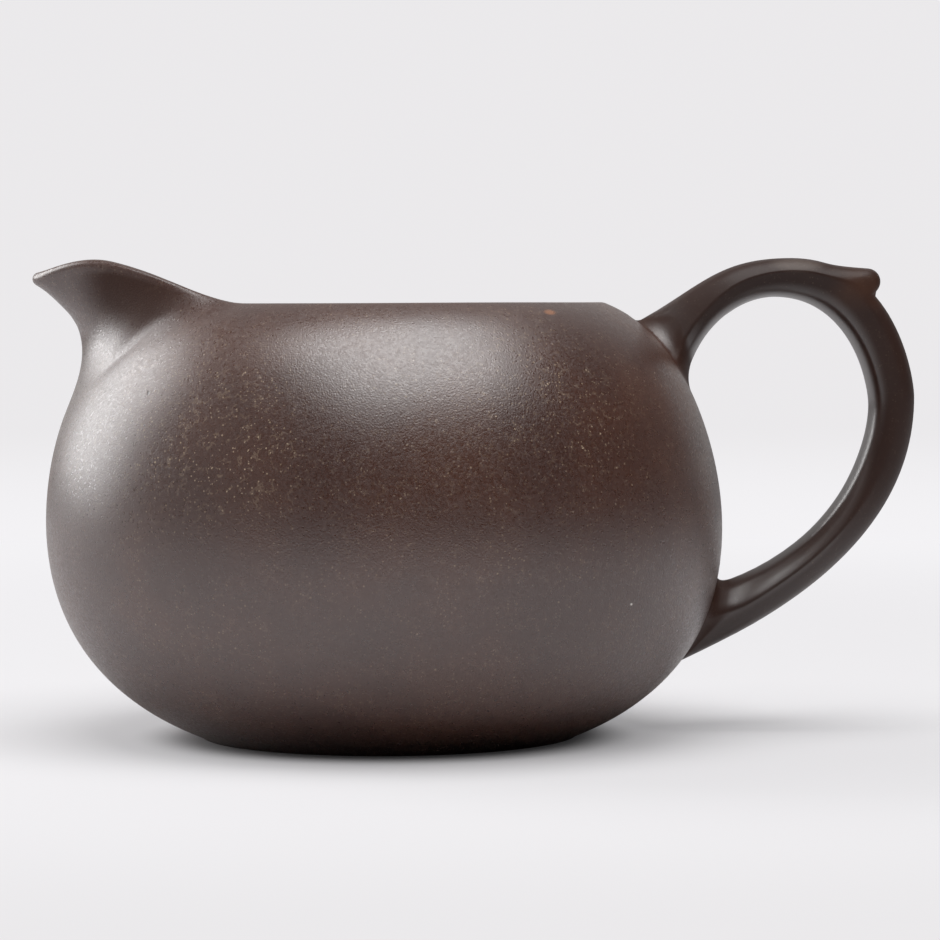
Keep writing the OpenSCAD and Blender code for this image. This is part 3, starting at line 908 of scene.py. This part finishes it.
def clay_material(finish, size):
    """Unglazed dark stoneware: soft mottling, fine orange-peel grain, light specks and a few pits."""
    material = bpy.data.materials.new("fired_clay")
    tree = new_tree(material)
    place = tree.node("TexCoord", output="Object")
    mottle = noise(place, finish.mottle_size, detail=3.0)
    speckled = tree.maths("MAXIMUM", near(place, SPECKLED_LEFT), near(place, SPECKLED_RIGHT) * 0.65)
    patches = noise(place, finish.mottle_size / 2, detail=2.0).fade(0.38, 0.62)
    clusters = patches * 0.35 + speckled * 0.75 + 0.15
    peel, facet, _ = cells(place, finish.grain_size)
    coarse = noise(place, finish.grain_size * 1.8, detail=2.0)
    specks = grains(place, finish.speck_spacing, radius=0.00014, empty=0.60)
    dust = grains(place, finish.speck_spacing * 0.4, radius=0.00012, empty=0.50)
    pits = grains(place, finish.speck_spacing * 4, radius=0.00020, empty=0.90)
    curls = fibres(place, spacing=0.0010, thickness=0.00007)

    crest = Vector((size.rim_width / 2 + size.handle_top_out, 0, size.rim_height + size.handle_rise))
    # Warm wear tint round the thumb rest, which also paints shade under it
    thumb = near(place, THUMB_WEAR_AND_SHADE, crest + Vector((size.thumb_at, 0, 0)))
    scuff = near(place, SCUFF, crest)
    # lip_side marks the painted shade beside the lip
    rust, white_grain, pinhole, lip_side = (
        near(place, mark) for mark in (RUST, WHITE_GRAIN, PINHOLE, LIP_SIDE_SHADE_AND_DULL))
    hollow, strap, crown, edge = (
        tree.node("Attribute", {"attribute_name": name}, output="Fac") for name in MARKS)
    # Painted shade with a duller sheen in the creases and under the thumb rest, and in brown also beside
    # the lip
    hollow = tree.maths("MAXIMUM", hollow, thumb * 0.7)
    brown = tree.maths("MAXIMUM", hollow, lip_side * (1 - edge * 0.9))
    dull = tree.maths("MAXIMUM", brown, crown * 0.9)
    light_grains = (dust * 0.5 + specks * 0.75 + curls * 0.14) * clusters
    light_grains = light_grains * (1 - strap * 0.8) * (1 - brown * 0.7)

    # Each colour covers the ones before it
    layers = [
        (mottle.fade(0.35, 0.68) * 0.55, finish.warm_colour),
        # Painted shade: the handle darker than the bowl
        (strap * 0.8, finish.painted_handle_shade),
        # Painted shade in the creases, under the thumb rest and beside the lip
        (brown * 0.9, finish.painted_crease_shade),
        (light_grains, finish.speck_colour),
        (scuff * 0.16, finish.scuff_colour),
        (thumb * mottle.fade(0.3, 0.6) * 0.1, finish.rust_colour),
        (pits * (1 - strap) * 0.8, finish.pit_colour),
        (rust * 0.7, finish.rust_colour),
        (white_grain, finish.white_colour),
        (pinhole, finish.pit_colour)]
    shade = finish.body_colour
    for cover, tint in layers:
        shade = cover.blend(shade, tint)
    rough = (facet - 0.5) * 0.18 + (coarse - 0.5) * 0.08
    rough = rough * (1 - strap * 0.8) + finish.roughness - strap * 0.05

    height = coarse * 0.3 - peel + specks * 0.2 - pits * 2.5 - pinhole * 3.0
    height = height * (1 - strap * 0.93) * (1 - edge * 0.6)
    bump = tree.node("Bump", None, {"Height": height, "Strength": 1.0, "Distance": finish.grain_height})
    burnished, rubbed_less = (
        tree.node("BsdfPrincipled", None,
                  {"Base Color": shade, "Roughness": roughness, "Normal": bump, "IOR": index})
        for roughness, index in (
            (rough, finish.refraction), (finish.dull_roughness, finish.dull_refraction)))
    clay = tree.node("MixShader", None, {0: dull, 1: burnished, 2: rubbed_less})
    tree.node("OutputMaterial", None, {"Surface": clay})
    return material


def stage_material(setup):
    """A pale table that fades into the backdrop away from the pitcher and keeps its shadow, which a
    painted glow lightens beyond the contact shadow, more on the lip side.
    """
    material = bpy.data.materials.new("pale_table")
    tree = new_tree(material)
    place = tree.node("TexCoord", output="Object")
    flat = tree.vector("LENGTH", {0: place}, "Value")
    x = tree.node("SeparateXYZ", None, {0: place})
    # Painted fill light: beyond the contact shadow the camera sees glow that lightens the table's shadow,
    # more on the lip side
    contact_soft = 0.009
    lip_side = (x * -1).fade(-0.04, 0.05)
    fill = flat.fade(setup.contact_radius, setup.contact_radius + contact_soft)
    fill = fill * (lip_side * 0.11 + 0.30) + 0.02
    front = (x.other("Y") * -1).fade(0.03, 0.16)
    far = tree.maths("MAXIMUM", front, flat.fade(0.06, 0.42))
    covered = fill + far - fill * far
    horizon = tree.maths("MAXIMUM", front, flat.fade(0.35, 1.3))
    horizon = horizon.blend(setup.glow_colour, setup.backdrop_colour)
    table = tree.node("BsdfDiffuse", None, {"Color": setup.floor_colour})
    glow = tree.node("Emission", None, {"Color": horizon, "Strength": 1.0})
    seen = tree.node("LightPath", output="Is Camera Ray")
    surface = tree.node("MixShader", None, {0: covered * seen, 1: table, 2: glow})
    tree.node("OutputMaterial", None, {"Surface": surface})
    return material


# Operators
def add_object(context, name, data):
    made = bpy.data.objects.new(name, data)
    context.scene.collection.objects.link(made)
    return made


class PITCHER_OT_body(bpy.types.Operator):
    """Builds the clay pitcher in place of its CAD node"""

    bl_idname = "pitcher.body"
    bl_label = "Pitcher"

    def execute(self, context):
        size = context.scene.pitcher_sizes
        rows = pitcher_rows(size)
        rows.points = [hand_finish(np.concatenate(rows.points), size)]
        piece = add_object(context, "clay_pitcher", rows.mesh("clay_pitcher"))
        piece.data.materials.append(clay_material(context.scene.clay_finish, size))
        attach(piece, CAD_BODY)
        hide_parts(CAD_NODE)
        return {"FINISHED"}


class PITCHER_OT_stage(bpy.types.Operator):
    """Sets the pale table, the soft lamps, the surroundings and the camera"""

    bl_idname = "pitcher.stage"
    bl_label = "Studio"

    def execute(self, context):
        setup = context.scene.studio_setup
        self.table(context, setup)
        self.lamp(context, "top_softbox", *TOP_SOFTBOX, setup.top_light)
        self.lamp(context, "side_softbox", *SIDE_SOFTBOX, setup.side_light)
        self.surroundings(context, setup)
        self.camera(context, setup)
        return {"FINISHED"}

    @staticmethod
    def table(context, setup):
        half = 6.0
        corners = [(-half, -half, 0), (half, -half, 0), (half, half, 0), (-half, half, 0)]
        mesh = bpy.data.meshes.new("table")
        mesh.from_pydata(corners, [], [(0, 1, 2, 3)])
        mesh.materials.append(stage_material(setup))
        table = add_object(context, "table", mesh)

    @staticmethod
    def lamp(context, name, place, spread, power):
        data = bpy.data.lights.new(name, "AREA")
        data.shape = "RECTANGLE"
        data.size, data.size_y = spread
        data.energy = power
        lamp = add_object(context, name, data)
        lamp.location = place
        lamp.rotation_euler = (Vector(LAMP_TARGET) - Vector(place)).to_track_quat("-Z", "Y").to_euler()

    @staticmethod
    def surroundings(context, setup):
        """The backdrop that the camera sees, and a dim room, brighter behind the pitcher and its lip."""
        world = bpy.data.worlds.new("studio")
        context.scene.world = world
        tree = new_tree(world)
        direction = tree.node("TexCoord", output="Generated")
        x = tree.node("SeparateXYZ", None, {0: direction})
        room = x.other("Y").fade(0.2, 0.9).blend(ROOM_DARK, ROOM_BEHIND)
        room = (x * -1).fade(0.3, 0.95).blend(room, ROOM_BY_LIP)
        seen = tree.node("LightPath", output="Is Camera Ray")
        shade = seen.blend(room, setup.backdrop_colour)
        light = tree.node("Background", None, {"Color": shade, "Strength": 1.0})
        tree.node("OutputWorld", None, {"Surface": light})

    @staticmethod
    def camera(context, setup):
        data = bpy.data.cameras.new("photo_camera")
        data.sensor_width = 36
        data.lens = setup.lens
        data.clip_start = 0.01
        data.clip_end = 50
        camera = add_object(context, "photo_camera", data)
        turn = Matrix.Rotation(-setup.camera_turn, 4, "Z")
        stand = Matrix.Translation((setup.camera_shift, -setup.camera_distance, setup.camera_height))
        tilt = Matrix.Rotation(pi / 2 - setup.camera_pitch, 4, "X")
        roll = Matrix.Rotation(-setup.camera_roll, 4, "Z")
        camera.matrix_world = turn @ stand @ tilt @ roll
        context.scene.camera = camera
        context.scene.view_settings.view_transform = "Standard"


class PITCHER_PT_panel(bpy.types.Panel):
    """Lists the pitcher's operators and settings"""

    bl_idname = "PITCHER_PT_panel"
    bl_label = "Tea pitcher"
    bl_space_type = "VIEW_3D"
    bl_region_type = "UI"
    bl_category = "Pitcher"

    def draw(self, context):
        for operator in OPERATORS:
            self.layout.operator(operator.bl_idname)
        for group in (getattr(context.scene, group_name) for group_name in GROUPS):
            box = self.layout.box()
            for name in group.bl_rna.properties.keys():
                if name not in ("rna_type", "name"):
                    box.prop(group, name)


OPERATORS = (PITCHER_OT_body, PITCHER_OT_stage)
GROUPS = {"pitcher_sizes": PitcherSizes, "clay_finish": ClayFinish, "studio_setup": StudioSetup}


def register():
    for group_name, group in GROUPS.items():
        bpy.utils.register_class(group)
        setattr(bpy.types.Scene, group_name, PointerProperty(type=group))
    for operator in OPERATORS:
        bpy.utils.register_class(operator)
    bpy.utils.register_class(PITCHER_PT_panel)


def unregister():
    bpy.utils.unregister_class(PITCHER_PT_panel)
    for operator in reversed(OPERATORS):
        bpy.utils.unregister_class(operator)
    for group_name, group in GROUPS.items():
        delattr(bpy.types.Scene, group_name)
        bpy.utils.unregister_class(group)


def main():
    register()
    bpy.ops.pitcher.body()
    bpy.ops.pitcher.stage()


if __name__ == "__main__":
    main()
